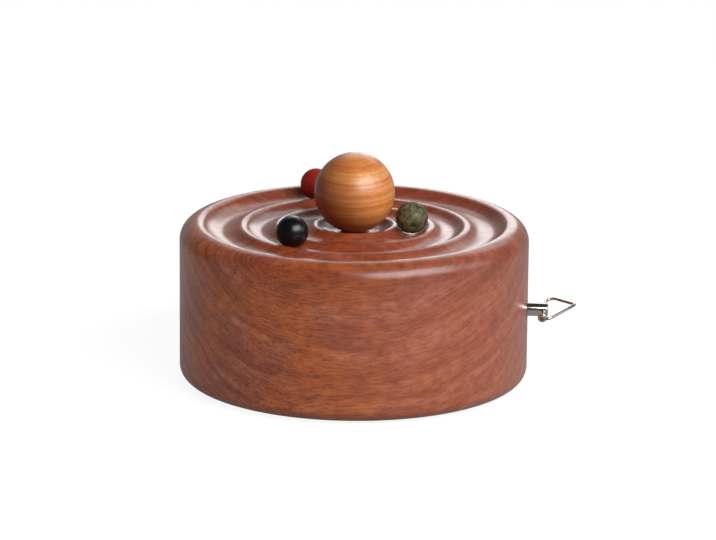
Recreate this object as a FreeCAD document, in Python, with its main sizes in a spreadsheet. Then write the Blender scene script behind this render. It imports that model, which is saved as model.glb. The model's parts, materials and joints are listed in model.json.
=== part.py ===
import FreeCAD, Part

import math
import os
import re

import Sketcher

# A wind-up planet music box: three wooden balls orbit a wooden sun in the turned grooves of a round case.
# A spring movement stands inside. Its drum shaft is the case's axis and carries three magnets under the
# thin top, and each magnet drags a ball that holds a magnet of its own. The winding key is at the side.
# Frame: millimetres, origin on the case's axis at the face it rests on, +Z up, +X towards the key.

SIZES = {
    "Case": [
        ("case_diameter", 130, "across the turned body"),
        ("case_height", 59, "height of the turned body"),
        ("case_lift", 1, "gap between the case and the table, left by the felt"),
        ("case_wall", 9.5, "side wall"),
        ("top_round", 6.7, "rounding of the upper outer edge"),
        ("bottom_round", 4.8, "rounding of the lower outer edge"),
        ("crest_round", 1.1, "rounding of the crests between the grooves"),
        ("groove_depth", 3.6, "from the rim down to the floor of every groove"),
        ("ceiling", 3.5, "wood left under the grooves"),
        ("boss_radius", 8, "boss under the middle of the top"),
        ("boss_depth", 3.7, "how far that boss hangs below the ceiling"),
        ("outer_orbit", 49.2, "radius of the outer ball's path"),
        ("outer_scoop", 13.2, "radius of the outer groove's section"),
        ("middle_orbit", 35.15, "radius of the middle ball's path"),
        ("middle_scoop", 9.57, "radius of the middle groove's section"),
        ("inner_orbit", 21.6, "radius of the inner ball's path"),
        ("inner_scoop", 10.75, "radius of the inner groove's section"),
        ("dish_flat", 8, "radius of the flat floor under the sun"),
        ("dish_scoop", 8.8, "radius of the dish's rising edge"),
    ],
    "Balls": [
        ("sun_radius", 15, "large ball"),
        ("sun_flat", 3, "radius of the flat that the large ball stands on"),
        ("ball_radius", 6, "small balls"),
        ("ball_gap", 0.25, "running gap between a small ball and its groove"),
        ("inner_turn", -4.3, "angle of the inner ball from the key, at rest"),
        ("outer_turn", 113.4, "angle of the outer ball, at rest"),
        ("middle_turn", 235.7, "angle of the middle ball, at rest"),
        ("ball_magnet_radius", 2.5, "magnet in a small ball"),
        ("ball_magnet_length", 3, ""),
        ("ball_magnet_depth", 0.6, "depth of that magnet above the ball's lowest point"),
        ("dowel_radius", 2.5, "dowel between the case and the large ball"),
        ("dowel_in_case", 6, ""),
        ("dowel_in_sun", 8, ""),
    ],
    "Base": [
        ("felt_thick", 1.6, "felt disc that the box stands on"),
        ("felt_radius", 45, ""),
        ("base_thick", 4, "base plate"),
        ("base_gap", 0.3, "between the base plate and the wall"),
        ("base_screw_orbit", 50, ""),
        ("base_screw_count", 4, ""),
        ("block_width", 12, "glued block behind each base screw"),
        ("block_height", 12, ""),
        ("block_depth", 11.5, ""),
        ("wood_screw_radius", 1.4, "shank"),
        ("wood_screw_head", 2.7, ""),
        ("wood_screw_cone", 1.8, "depth of the countersunk head"),
        ("wood_screw_length", 13, ""),
        ("wood_screw_tip", 2, ""),
        ("plank_thick", 9, "upright board that carries the movement"),
        ("plank_width", 48, ""),
        ("plank_top", 42, ""),
        ("plank_bore", 4.5, "way for the winding arbor"),
        ("plank_screw_spread", 24, "between the two screws that hold the board"),
    ],
    "Key": [
        ("key_height", 28.6, "height of the winding axis"),
        ("key_hole", 3.5, "radius of the hole in the wall"),
        ("stem_radius", 2.5, ""),
        ("stem_length", 28.6, ""),
        ("stem_proud", 7.6, "how far the stem stands out of the case"),
        ("stem_edge", 0.4, "chamfer of the stem's ends"),
        ("stem_socket", 8, "how far the arbor reaches into the stem"),
        ("bail_wire", 0.55, "radius of the wire"),
        ("bail_hole", 0.65, "radius of the cross hole in the stem"),
        ("bail_inset", 1.4, "from the stem's end to the cross hole"),
        ("bail_width", 25, "width of the loop along its pivot"),
        ("bail_reach", 11.5, "from the pivot to the tip of the loop"),
        ("bail_corner", 2, "bends beside the pivot"),
        ("bail_tip", 1.7, "bend at the tip"),
        ("bail_lift", 12, "angle of the loop above the key's axis, at rest"),
        ("key_turn", 2, "angle of the pivot about the key's axis, at rest"),
        ("arbor_radius", 1.5, "winding arbor"),
        ("arbor_hub", 3, "hub that the mainspring is hooked to"),
        ("collar_radius", 3.4, "collar behind the bedplate"),
        ("collar_width", 2, ""),
    ],
    "Fits": [
        ("bearing_gap", 0.1, "between a shaft and its bearing"),
        ("end_gap", 0.3, "between parts that turn past each other"),
        ("clear_gap", 0.8, "between a moving part and the frame"),
    ],
    "Barrel": [
        ("drive_module", 0.7, "teeth between the barrel and the drum"),
        ("crown_teeth", 34, ""),
        ("drum_teeth", 16, "pinion on the drum shaft"),
        ("crown_rim", 1, "half of the crown wheel's face width"),
        ("crown_thick", 1.55, "plate behind the crown teeth"),
        ("barrel_radius", 12.2, ""),
        ("barrel_length", 12.5, ""),
        ("barrel_wall", 1, ""),
        ("spring_thick", 0.3, "mainspring"),
        ("spring_turns", 6, ""),
    ],
    "Drum": [
        ("shaft_radius", 1.5, ""),
        ("drum_radius", 6.6, ""),
        ("pin_length", 0.6, ""),
        ("pin_radius", 0.2, ""),
        ("note_pitch", 1, "from one note to the next"),
        ("note_count", 18, ""),
        ("drum_end", 0.9, "plain end beyond the last note"),
        ("pinion_width", 2.2, ""),
        ("train_module", 0.5, "teeth of the governor's train"),
        ("wheel_teeth", 36, "wheel on the drum shaft"),
        ("wheel_width", 1.4, ""),
        ("comb_thick", 1, "comb's root"),
        ("tooth_thick", 0.5, "comb's teeth"),
        ("comb_slot", 0.3, "saw cut between two teeth"),
        ("tooth_length", 13.6, ""),
        ("comb_depth", 10, "comb's root, along the teeth"),
        ("comb_margin", 1.5, "comb's root beyond the end teeth"),
        ("pluck_gap", 0.15, "between the pins and the comb at rest"),
        ("comb_screw_spread", 12, ""),
        ("small_screw_radius", 1, ""),
        ("small_screw_head", 2, ""),
        ("small_screw_cone", 0.8, ""),
        ("comb_screw_length", 6, ""),
    ],
    "Frame": [
        ("frame_thick", 2, "arms of the cast frame"),
        ("bedplate_thick", 2.5, ""),
        ("bedplate_left", 22, "bedplate's reach on the governor's side"),
        ("bedplate_right", 33, "and on the comb's side"),
        ("arm_width", 10, "arms that carry the drum shaft"),
        ("arm_nose", 5, "arms' reach beyond the drum shaft"),
        ("frame_screw_spread", 35, ""),
        ("frame_screw_rise", 25, ""),
        ("frame_screw_length", 10, ""),
    ],
    "Governor": [
        ("pinion_teeth", 8, "pinion on the governor's first shaft"),
        ("worm_wheel_teeth", 20, ""),
        ("worm_wheel_width", 1.2, ""),
        ("governor_turn", 120, "direction of that shaft from the drum"),
        ("governor_shaft", 0.7, ""),
        ("worm_radius", 1.2, "pitch radius of the worm"),
        ("worm_core", 0.7, ""),
        ("worm_turns", 4.5, ""),
        ("fan_radius", 4, "air brake on the worm's shaft"),
        ("fan_length", 4, ""),
        ("fan_thick", 0.4, ""),
        ("cheek_thick", 1, "plates that carry the worm"),
        ("cheek_spread", 22, ""),
        ("foot_width", 4, ""),
        ("tab_width", 5, ""),
    ],
    "Carrier": [
        ("carrier_hub", 6, ""),
        ("carrier_arm", 7, "width of each arm"),
        ("carrier_thick", 2.4, ""),
        ("boss_rise", 1.3, "carrier's boss, below its arms"),
        ("carrier_magnet_radius", 3, ""),
        ("carrier_magnet_length", 3, ""),
        ("cup_wall", 1.2, ""),
        ("magnet_gap", 1, "between the magnets and the ceiling"),
    ],
}

# Shape of every gear tooth, thinned so that the wheels run with play
TOOTH_DEPTH, TOOTH_HEIGHT = 1.2, 0.8  # in modules, below and above the pitch line
TOOTH_MIDDLE, TOOTH_TIP = 0.72, 0.26  # of half the pitch, at the pitch line and at the tip

# What follows from the sizes, as expressions of them. Heights are above the table.
PLACES = {
    "case_top": "case_lift + case_height",
    "groove_floor": "case_top - groove_depth",
    "ceiling_height": "groove_floor - ceiling",
    "boss_height": "ceiling_height - boss_depth",
    "case_radius": "case_diameter / 2",
    "room_radius": "case_radius - case_wall",
    "base_top": "felt_thick + base_thick",
    "ball_height": "groove_floor + ball_gap + ball_radius",
    "sun_height": "groove_floor + sqrt(sun_radius ^ 2 - sun_flat ^ 2)",
    "stem_end": "case_radius + stem_proud",
    "bail_pivot": "stem_end - bail_inset",
    "crown_pitch": "drive_module * crown_teeth / 2",
    "drum_pitch": "drive_module * drum_teeth / 2",
    "crown_root": f"drum_pitch + {TOOTH_DEPTH} * drive_module",
    "barrel_front": "crown_root + crown_thick",
    "barrel_back": "barrel_front + barrel_length",
    "bedplate_front": "barrel_back + 2 * clear_gap",
    "bedplate_back": "bedplate_front + bedplate_thick",
    "crown_outer": "crown_pitch + crown_rim",
    "crown_inner": "crown_pitch - crown_rim",
    "arm_height": "key_height + crown_outer + end_gap",
    "frame_top": "arm_height + frame_thick",
    "wheel_top": "key_height - crown_outer - clear_gap",
    "wheel_bottom": "wheel_top - wheel_width",
    "frame_floor": "wheel_bottom - clear_gap",
    "frame_bottom": "frame_floor - frame_thick",
    "drum_length": "(note_count - 1) * note_pitch + 2 * drum_end",
    "wheel_pitch": "train_module * wheel_teeth / 2",
    "pinion_pitch": "train_module * pinion_teeth / 2",
    "worm_wheel_pitch": "train_module * worm_wheel_teeth / 2",
    "governor_x": "(wheel_pitch + pinion_pitch) * cos(governor_turn)",
    "governor_y": "(wheel_pitch + pinion_pitch) * sin(governor_turn)",
    "worm_y": "governor_y + worm_wheel_pitch + worm_radius",
    "worm_height": "frame_floor + fan_radius + clear_gap",
    "worm_reach": "worm_turns * pi * train_module / 2",
    "cheek_left": "governor_x - worm_reach - clear_gap - cheek_thick",
    "cheek_right": "cheek_left + cheek_spread",
    "cheek_top": "worm_height + worm_radius + train_module + end_gap + cheek_thick",
    "back_plate": "worm_y + fan_radius + clear_gap",
    "carrier_bottom": "frame_top + end_gap + boss_rise",
    "carrier_top": "carrier_bottom + carrier_thick",
    "magnet_top": "ceiling_height - magnet_gap",
    "comb_tip": "drum_radius + pin_length + pluck_gap",
    "comb_root": "comb_tip + tooth_length",
    "comb_back": "comb_root + comb_depth",
    "comb_low": "key_height - drum_length / 2 - comb_margin",
    "comb_high": "key_height + drum_length / 2 + comb_margin",
}

doc = FreeCAD.newDocument("PlanetMusicBox")
sheet = doc.addObject("Spreadsheet::Sheet", "Sizes")


def fill_sheet():
    """Write every size into the sheet, one row each, with its name as the cell's alias."""
    row = 1
    for group, sizes in SIZES.items():
        sheet.set(f"A{row}", group)
        row += 1
        for name, number, note in sizes:
            sheet.set(f"A{row}", name)
            sheet.set(f"B{row}", str(number))
            sheet.set(f"C{row}", note)
            sheet.setAlias(f"B{row}", name)
            row += 1
    doc.recompute()


WORD = re.compile(r"[a-z]\w*")
NAMES = {name for sizes in SIZES.values() for name, number, note in sizes}


def bound(expression):
    """The expression with places spelled out and every size's name turned into its cell."""

    def cell(word):
        name = word.group()
        if name in PLACES:
            return "(" + bound(PLACES[name]) + ")"
        return "Sizes." + name if name in NAMES else name

    return WORD.sub(cell, str(expression))


def value(expression):
    """The number that an expression comes to now."""
    return float(sheet.evalExpression(bound(expression)))


def point(x, y, z=0):
    return FreeCAD.Vector(value(x), value(y), value(z))


ALONG_X = FreeCAD.Rotation(FreeCAD.Vector(0, 1, 0), 90)
UPRIGHT = FreeCAD.Rotation()


def place(thing, x=0, y=0, z=0, turn=UPRIGHT):
    thing.Placement = FreeCAD.Placement(FreeCAD.Vector(), turn)
    for axis, expression in zip("xyz", (x, y, z)):
        thing.setExpression(".Placement.Base." + axis, bound(expression))
    return thing


# Primitives and booleans

def solid(kind, name, **sizes):
    thing = doc.addObject(kind, name)
    for prop, expression in sizes.items():
        thing.setExpression(prop, bound(expression))
    return thing


def block(name, x, y, z):
    """A box between two expressions along each axis."""
    thing = solid("Part::Box", name, Length=f"({x[1]}) - ({x[0]})", Width=f"({y[1]}) - ({y[0]})",
                  Height=f"({z[1]}) - ({z[0]})")
    return place(thing, x[0], y[0], z[0])


def rod(name, radius, start, end, x=0, y=0, turn=UPRIGHT, z=0):
    """A cylinder from start to end: along Z at (x, y), or along X at (y, z) when turned."""
    thing = solid("Part::Cylinder", name, Radius=radius, Height=f"({end}) - ({start})")
    if turn is ALONG_X:
        return place(thing, start, y, z, turn)
    return place(thing, x, y, start)


def join(name, pieces):
    thing = doc.addObject("Part::MultiFuse", name)
    thing.Shapes = pieces
    thing.Refine = True
    return thing


def cut(name, base, tools):
    """The base without the tools. The tools may be parts themselves, so that they seat exactly."""
    thing = doc.addObject("Part::Cut", name)
    thing.Base = base
    if len(tools) == 1:
        thing.Tool = tools[0]
    else:
        together = doc.addObject("Part::Compound", name + "_tools")
        together.Links = tools
        thing.Tool = together
    return thing


# Bodies made of sketches and features

def origin(body, role):
    return next(feature for feature in body.Origin.OriginFeatures if feature.Role == role)


def new_sketch(body, plane, name):
    sketch = body.newObject("Sketcher::SketchObject", name)
    sketch.AttachmentSupport = [(origin(body, plane), "")]
    sketch.MapMode = "FlatFace"
    return sketch


def pin(sketch, kind, *place_and_size):
    """A dimension bound to an expression, which is the last argument."""
    *where, expression = place_and_size
    index = sketch.addConstraint(Sketcher.Constraint(kind, *where, value(expression)))
    sketch.setExpression(f"Constraints[{index}]", bound(expression))


def pin_point(sketch, line, end, across, up):
    pin(sketch, "DistanceX", line, end, across)
    pin(sketch, "DistanceY", line, end, up)


def polygon(body, plane, name, corners):
    """A closed outline of straight lines whose corners are pinned to expressions."""
    sketch = new_sketch(body, plane, name)
    spots = [point(*corner) for corner in corners]
    for start, end in zip(spots, spots[1:] + spots[:1]):
        sketch.addGeometry(Part.LineSegment(start, end), False)
    for line in range(len(corners)):
        sketch.addConstraint(Sketcher.Constraint("Coincident", line, 2, (line + 1) % len(corners), 1))
    for line, corner in enumerate(corners):
        pin_point(sketch, line, 1, *corner)
    return sketch


def circle(body, plane, name, radius, across=0, up=0):
    sketch = new_sketch(body, plane, name)
    ring = Part.Circle(point(across, up), FreeCAD.Vector(0, 0, 1), value(radius))
    sketch.addGeometry(ring, False)
    pin_point(sketch, 0, 3, across, up)
    pin(sketch, "Radius", 0, radius)
    return sketch


def feature(body, kind, name, sketch, **sizes):
    """A PartDesign feature on a sketch, with its sizes bound to expressions."""
    thing = body.newObject("PartDesign::" + kind, name)
    thing.Profile = sketch
    for prop, expression in sizes.items():
        thing.setExpression(prop, bound(expression))
    return thing


def revolve(body, kind, name, sketch):
    thing = feature(body, kind, name, sketch)
    thing.ReferenceAxis = (sketch, ["V_Axis"])
    thing.Angle = 360
    return thing


def pad(body, name, sketch, length, start="0"):
    """A pad that begins at a height above the sketch's plane."""
    sketch.AttachmentOffset = FreeCAD.Placement()
    sketch.setExpression(".AttachmentOffset.Base.z", bound(start))
    return feature(body, "Pad", name, sketch, Length=length)


def pattern_round(body, name, originals, sketch, count):
    thing = body.newObject("PartDesign::PolarPattern", name)
    thing.Originals = originals
    thing.Axis = (sketch, ["N_Axis"])
    thing.Angle = 360
    thing.setExpression("Occurrences", bound(count))
    body.Tip = thing
    return thing


def edges_at(shape, spots):
    """Names of the circular edges that pass through the given (radius, height) spots."""
    near = 0.01
    names = []
    for number, edge in enumerate(shape.Edges, 1):
        if not isinstance(edge.Curve, Part.Circle):
            continue
        for radius, height in spots:
            away = (edge.Curve.Center - FreeCAD.Vector(0, 0, height)).Length
            if away < near and abs(edge.Curve.Radius - radius) < near:
                names.append(f"Edge{number}")
    return names


def turned(name, corners):
    """A body revolved about Z from corners given as (radius, height)."""
    body = doc.addObject("PartDesign::Body", name)
    revolve(body, "Revolution", name + "_turning", polygon(body, "XZ_Plane", name + "_outline", corners))
    return body


# Case

def round_edges(body, base, name, radius, spots):
    doc.recompute()
    fillet = body.newObject("PartDesign::Fillet", name)
    fillet.Base = (base, edges_at(base.Shape, spots))
    fillet.setExpression("Radius", bound(radius))
    return fillet


def cut_dish(body):
    """The flat-bottomed dish under the sun, whose edge rises as a quarter circle."""
    sketch = new_sketch(body, "XZ_Plane", "dish_outline")
    start, end = point(0, "groove_floor"), point("dish_flat", "groove_floor")
    upper = point(0, "groove_floor + dish_scoop")
    outer = point("dish_flat + dish_scoop", "groove_floor + dish_scoop")
    middle = point("dish_flat", "groove_floor + dish_scoop")
    scoop = Part.Circle(middle, FreeCAD.Vector(0, 0, 1), value("dish_scoop"))
    sketch.addGeometry(Part.LineSegment(start, end), False)
    sketch.addGeometry(Part.ArcOfCircle(scoop, 1.5 * math.pi, 2 * math.pi), False)
    sketch.addGeometry(Part.LineSegment(outer, upper), False)
    sketch.addGeometry(Part.LineSegment(upper, start), False)
    for line in range(4):
        sketch.addConstraint(Sketcher.Constraint("Coincident", line, 2, (line + 1) % 4, 1))
    pin_point(sketch, 0, 1, "0", "groove_floor")
    pin_point(sketch, 0, 2, "dish_flat", "groove_floor")
    pin_point(sketch, 1, 3, "dish_flat", "groove_floor + dish_scoop")
    pin(sketch, "DistanceY", 1, 2, "groove_floor + dish_scoop")
    pin_point(sketch, 3, 1, "0", "groove_floor + dish_scoop")
    return revolve(body, "Groove", "dish", sketch)


def crest(near_orbit, near_scoop, far_orbit, far_scoop):
    """Where two scoops of the same depth meet, as (radius, height above their floor)."""

    def rise(scoop, across):
        return scoop - math.sqrt(max(scoop ** 2 - across ** 2, 0))

    low, high = near_orbit, far_orbit
    for _ in range(60):
        middle = (low + high) / 2
        if rise(near_scoop, middle - near_orbit) < rise(far_scoop, far_orbit - middle):
            low = middle
        else:
            high = middle
    return low, rise(near_scoop, low - near_orbit)


def case_body():
    body = turned("case_body", [
        ("room_radius", "case_lift"), ("case_radius", "case_lift"), ("case_radius", "case_top"),
        ("0", "case_top"), ("0", "boss_height"), ("boss_radius", "boss_height"),
        ("boss_radius", "ceiling_height"), ("room_radius", "ceiling_height")])
    outer = value("case_radius")
    top = round_edges(body, body.Tip, "top_edge", "top_round", [(outer, value("case_top"))])
    round_edges(body, top, "bottom_edge", "bottom_round", [(outer, value("case_lift"))])
    for ring in ("outer", "middle", "inner"):
        sketch = circle(body, "XZ_Plane", ring + "_scoop_outline", ring + "_scoop", ring + "_orbit",
                        f"groove_floor + {ring}_scoop")
        revolve(body, "Groove", ring + "_groove", sketch)
    last = cut_dish(body)
    doc.recompute()
    rings = [(value("dish_flat"), value("dish_scoop"))]
    rings += [(value(f"{ring}_orbit"), value(f"{ring}_scoop")) for ring in ("inner", "middle", "outer")]
    spots = []
    for (near, near_scoop), (far, far_scoop) in zip(rings, rings[1:]):
        radius, rise = crest(near, near_scoop, far, far_scoop)
        spots.append((radius, value("groove_floor") + rise))
    last = round_edges(body, last, "crests", "crest_round", spots)
    hole = circle(body, "YZ_Plane", "key_hole_outline", "key_hole", "0", "key_height")
    bore = feature(body, "Pocket", "key_bore", hole, Length="case_radius + 1")
    bore.Reversed = True
    socket = circle(body, "XY_Plane", "dowel_outline", "dowel_radius")
    socket.setExpression(".AttachmentOffset.Base.z", bound("groove_floor - dowel_in_case"))
    pocket = feature(body, "Pocket", "dowel_bore", socket, Length="dowel_in_case + 1")
    pocket.Reversed = True
    return body


def base_parts():
    """Felt, base plate, its screws and the blocks that they bite into."""
    felt = rod("felt_pad", "felt_radius", "0", "felt_thick")
    screws, blocks = [], []
    near = "(room_radius - block_depth)"
    for number in range(int(value("base_screw_count"))):
        angle = f"45 + {number} * 360 / base_screw_count"
        spin = FreeCAD.Rotation(FreeCAD.Vector(0, 0, 1), value(angle))
        screw = wood_screw(f"base_screw_{number + 1}", "wood_screw_length")
        place(screw, f"base_screw_orbit * cos({angle})", f"base_screw_orbit * sin({angle})", "felt_thick")
        screws.append(screw)
        lump = solid("Part::Box", f"block_stock_{number + 1}", Length="block_depth + case_wall",
                     Width="block_width", Height="block_height")
        place(lump, f"{near} * cos({angle}) + block_width / 2 * sin({angle})",
              f"{near} * sin({angle}) - block_width / 2 * cos({angle})", "base_top", spin)
        room = rod(f"room_{number + 1}", "room_radius", "base_top", "base_top + block_height")
        fitted = doc.addObject("Part::Common", f"fitted_block_{number + 1}")
        fitted.Base = lump
        fitted.Tool = room
        blocks.append(cut(f"screw_block_{number + 1}", fitted, [screw]))
    plate = rod("base_disc", "room_radius - base_gap", "felt_thick", "base_top")
    return felt, plate, screws, blocks


def screw(name, head, cone, shank, length, tip):
    """A countersunk screw, head down at the origin, pointing up."""
    return turned(name, [("0", "0"), (head, "0"), (shank, cone), (shank, f"{length} - {tip}"), ("0", length)])


def wood_screw(name, length):
    return screw(name, "wood_screw_head", "wood_screw_cone", "wood_screw_radius", length, "wood_screw_tip")


def small_screw(name, length):
    return screw(name, "small_screw_head", "small_screw_cone", "small_screw_radius", length,
                 "small_screw_radius")


def plank_and_screws():
    """The upright board behind the movement, screwed up through the base plate."""
    middle = "(bedplate_back + plank_thick / 2)"
    board = block("plank_board", ("bedplate_back", "bedplate_back + plank_thick"),
                  ("-plank_width / 2", "plank_width / 2"), ("base_top", "plank_top"))
    bore = rod("plank_way", "plank_bore", "bedplate_back", "bedplate_back + plank_thick", turn=ALONG_X,
               z="key_height")
    feet = []
    for number, side in enumerate(("-", ""), 1):
        foot = wood_screw(f"plank_screw_{number}", "wood_screw_length")
        feet.append(place(foot, middle, f"{side}plank_screw_spread / 2", "felt_thick"))
    fixings = []
    for number, (side, end) in enumerate((("-", "-"), ("-", ""), ("", "-"), ("", "")), 1):
        fixing = wood_screw(f"frame_screw_{number}", "frame_screw_length")
        place(fixing, "bedplate_front", f"{side}frame_screw_spread / 2",
              f"key_height + {end}frame_screw_rise / 2", ALONG_X)
        fixings.append(fixing)
    return cut("movement_board", board, [bore] + feet + fixings), feet, fixings


# Sun and planets

def sun():
    dowel = rod("sun_dowel", "dowel_radius", "groove_floor - dowel_in_case", "groove_floor + dowel_in_sun")
    ball = solid("Part::Sphere", "sun_stock", Radius="sun_radius")
    place(ball, z="sun_height")
    below = block("sun_foot", ("-sun_radius", "sun_radius"), ("-sun_radius", "sun_radius"),
                  ("groove_floor - sun_radius", "groove_floor"))
    return cut("sun_ball", ball, [join("sun_cutters", [below, dowel])]), dowel


def planet(ring):
    """A ball in its groove, bored from below for a magnet."""
    angle = ring + "_turn"
    x, y = f"{ring}_orbit * cos({angle})", f"{ring}_orbit * sin({angle})"
    bottom = "(ball_height - ball_radius)"
    top = f"{bottom} + ball_magnet_depth + ball_magnet_length"
    ball = place(solid("Part::Sphere", ring + "_ball_stock", Radius="ball_radius"), x, y, "ball_height")
    bore = rod(ring + "_ball_bore", "ball_magnet_radius", bottom, top, x, y)
    magnet = rod(ring + "_ball_magnet", "ball_magnet_radius", f"{bottom} + ball_magnet_depth", top, x, y)
    return cut(ring + "_ball", ball, [bore]), magnet


# Key

def key_stem():
    start, end = "stem_end - stem_length", "stem_end"
    body = turned("stem_turned", [
        ("0", "0"), ("stem_radius - stem_edge", "0"), ("stem_radius", "stem_edge"),
        ("stem_radius", "stem_length - stem_edge"), ("stem_radius - stem_edge", "stem_length"),
        ("0", "stem_length")])
    place(body, start, 0, "key_height", ALONG_X)
    socket = rod("stem_socket_bore", "arbor_radius", start, f"{start} + stem_socket", turn=ALONG_X,
                 z="key_height")
    cross = solid("Part::Cylinder", "bail_bore", Radius="bail_hole", Height="2 * stem_radius + 2")
    tilt = value("key_turn")
    pivot = FreeCAD.Rotation(FreeCAD.Vector(1, 0, 0), tilt - 90)
    reach = "(stem_radius + 1)"
    place(cross, "bail_pivot", f"-{reach} * cos(key_turn)", f"key_height - {reach} * sin(key_turn)", pivot)
    return cut("key_stem", body, [socket, cross])


def belt(middles, radii):
    """A closed wire round circles given counterclockwise: straight runs and tangent arcs."""
    normals = []
    for index, middle in enumerate(middles):
        after = (index + 1) % len(middles)
        run = middles[after] - middle
        lean = (radii[index] - radii[after]) / run.Length
        along = FreeCAD.Vector(run).normalize()
        right = FreeCAD.Vector(along.y, -along.x, 0)
        normals.append(along * lean + right * math.sqrt(1 - lean ** 2))
    edges = []
    for index, middle in enumerate(middles):
        after = (index + 1) % len(middles)
        enter, leave = normals[index - 1], normals[index]
        top = (enter + leave).normalize()
        spots = [middle + way * radii[index] for way in (enter, top, leave)]
        edges.append(Part.Arc(*spots).toShape())
        edges.append(Part.LineSegment(spots[2], middles[after] + leave * radii[after]).toShape())
    return Part.Wire(edges)


def key_bail():
    """A loop of round wire through the stem's cross hole, drawn flat: X out, Y along the pivot."""
    corner, tip = value("bail_corner"), value("bail_tip")
    side = value("bail_width / 2 - bail_corner")
    middles = [FreeCAD.Vector(corner, -side, 0), FreeCAD.Vector(value("bail_reach") - tip, 0, 0),
               FreeCAD.Vector(corner, side, 0)]
    path = belt(middles, [corner, tip, corner])
    first = path.Edges[0]
    ring = Part.Circle(first.valueAt(first.FirstParameter), first.tangentAt(first.FirstParameter),
                       value("bail_wire"))
    bail = doc.addObject("Part::Feature", "key_bail")
    bail.Shape = path.makePipeShell([Part.Wire(ring.toShape())], True, True)
    lift = FreeCAD.Rotation(FreeCAD.Vector(0, 1, 0), -value("bail_lift"))
    turn = FreeCAD.Rotation(FreeCAD.Vector(1, 0, 0), value("key_turn")).multiply(lift)
    return place(bail, "bail_pivot", 0, "key_height", turn)


def winding_arbor():
    """The arbor inside the barrel, its spring hub and its long end in the key's socket."""
    start, end = "(barrel_front + bearing_gap)", "(stem_end - stem_length + stem_socket)"
    long_rod = rod("arbor_rod", "arbor_radius", start, end, turn=ALONG_X, z="key_height")
    hub = rod("arbor_hub_stock", "arbor_hub", "barrel_front + barrel_wall + end_gap",
              "barrel_back - barrel_wall - end_gap", turn=ALONG_X, z="key_height")
    arbor = join("winding_arbor", [long_rod, hub])
    start = "(bedplate_back + end_gap)"
    collar = rod("collar_stock", "collar_radius", start, f"{start} + collar_width", turn=ALONG_X,
                 z="key_height")
    bore = rod("collar_bore", "arbor_radius", start, f"{start} + collar_width", turn=ALONG_X, z="key_height")
    return arbor, cut("arbor_collar", collar, [bore])


# Gears. Each is drawn about its own Z axis and thinned, so that it runs with play.


def tooth(body, name, pitch, module, width):
    """One spur tooth along +X, with straight flanks."""
    half = f"({module} * pi / 4)"
    root = f"{pitch} - {TOOTH_DEPTH} * {module}"
    tip = f"{pitch} + {TOOTH_HEIGHT} * {module}"
    buried = f"{root} - 0.15 * {module}"
    side = [(buried, f"{half}"), (root, f"{half}"), (pitch, f"{TOOTH_MIDDLE} * {half}"),
            (tip, f"{TOOTH_TIP} * {half}")]
    corners = [(across, "-" + up) for across, up in side] + side[::-1]
    sketch = polygon(body, "XY_Plane", name + "_tooth_outline", corners)
    return sketch, pad(body, name + "_tooth", sketch, width)


def spur(name, teeth, module, width):
    """A toothed disc: root disc, one tooth, and that tooth repeated round the axis."""
    body = doc.addObject("PartDesign::Body", name)
    pitch = f"({module} * {teeth} / 2)"
    disc = circle(body, "XY_Plane", name + "_disc_outline", f"{pitch} - {TOOTH_DEPTH} * {module}")
    pad(body, name + "_disc", disc, width)
    sketch, one = tooth(body, name, pitch, module, width)
    pattern_round(body, name + "_teeth", [one], sketch, teeth)
    return body


def spring_barrel():
    """The going barrel, drawn with its crown teeth up (+Z), which is -X in the box."""
    body = turned("spring_barrel", [
        ("arbor_radius + bearing_gap", "-barrel_wall"), ("barrel_radius - barrel_wall", "-barrel_wall"),
        ("barrel_radius - barrel_wall", "-barrel_length"), ("barrel_radius", "-barrel_length"),
        ("barrel_radius", "0"), ("crown_outer", "0"), ("crown_outer", "crown_thick"),
        ("crown_inner", "crown_thick"), ("crown_inner", "0"), ("arbor_radius + bearing_gap", "0")])
    half = "(drive_module * pi / 4)"
    pitch = f"(crown_thick + {TOOTH_DEPTH} * drive_module)"
    side = [(f"{half}", "crown_thick / 2"), (f"{half}", "crown_thick"), (f"{TOOTH_MIDDLE} * {half}", pitch),
            (f"{TOOTH_TIP} * {half}", f"{pitch} + {TOOTH_HEIGHT} * drive_module")]
    outline = side + [("-" + across, up) for across, up in side[::-1]]
    sketch = polygon(body, "YZ_Plane", "crown_tooth_outline", outline)
    one = pad(body, "crown_tooth", sketch, "crown_outer - crown_inner - bearing_gap",
              "crown_inner + bearing_gap / 2")
    flat = circle(body, "XY_Plane", "crown_axis", "1")
    pattern_round(body, "crown_teeth_ring", [one], flat, "crown_teeth")
    # half a tooth of turn puts a gap of the crown wheel opposite a tooth of the drum's pinion
    facing = FreeCAD.Rotation(FreeCAD.Vector(0, 1, 0), -90)
    phase = FreeCAD.Rotation(FreeCAD.Vector(0, 0, 1), value("180 / crown_teeth"))
    return place(body, "barrel_front", 0, "key_height", facing.multiply(phase))


def barrel_cap():
    disc = rod("cap_disc", "barrel_radius - barrel_wall", "barrel_back - barrel_wall", "barrel_back",
               turn=ALONG_X, z="key_height")
    bore = rod("cap_bore", "arbor_radius + bearing_gap", "barrel_back - barrel_wall", "barrel_back",
               turn=ALONG_X, z="key_height")
    return cut("barrel_cap", disc, [bore])


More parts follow.
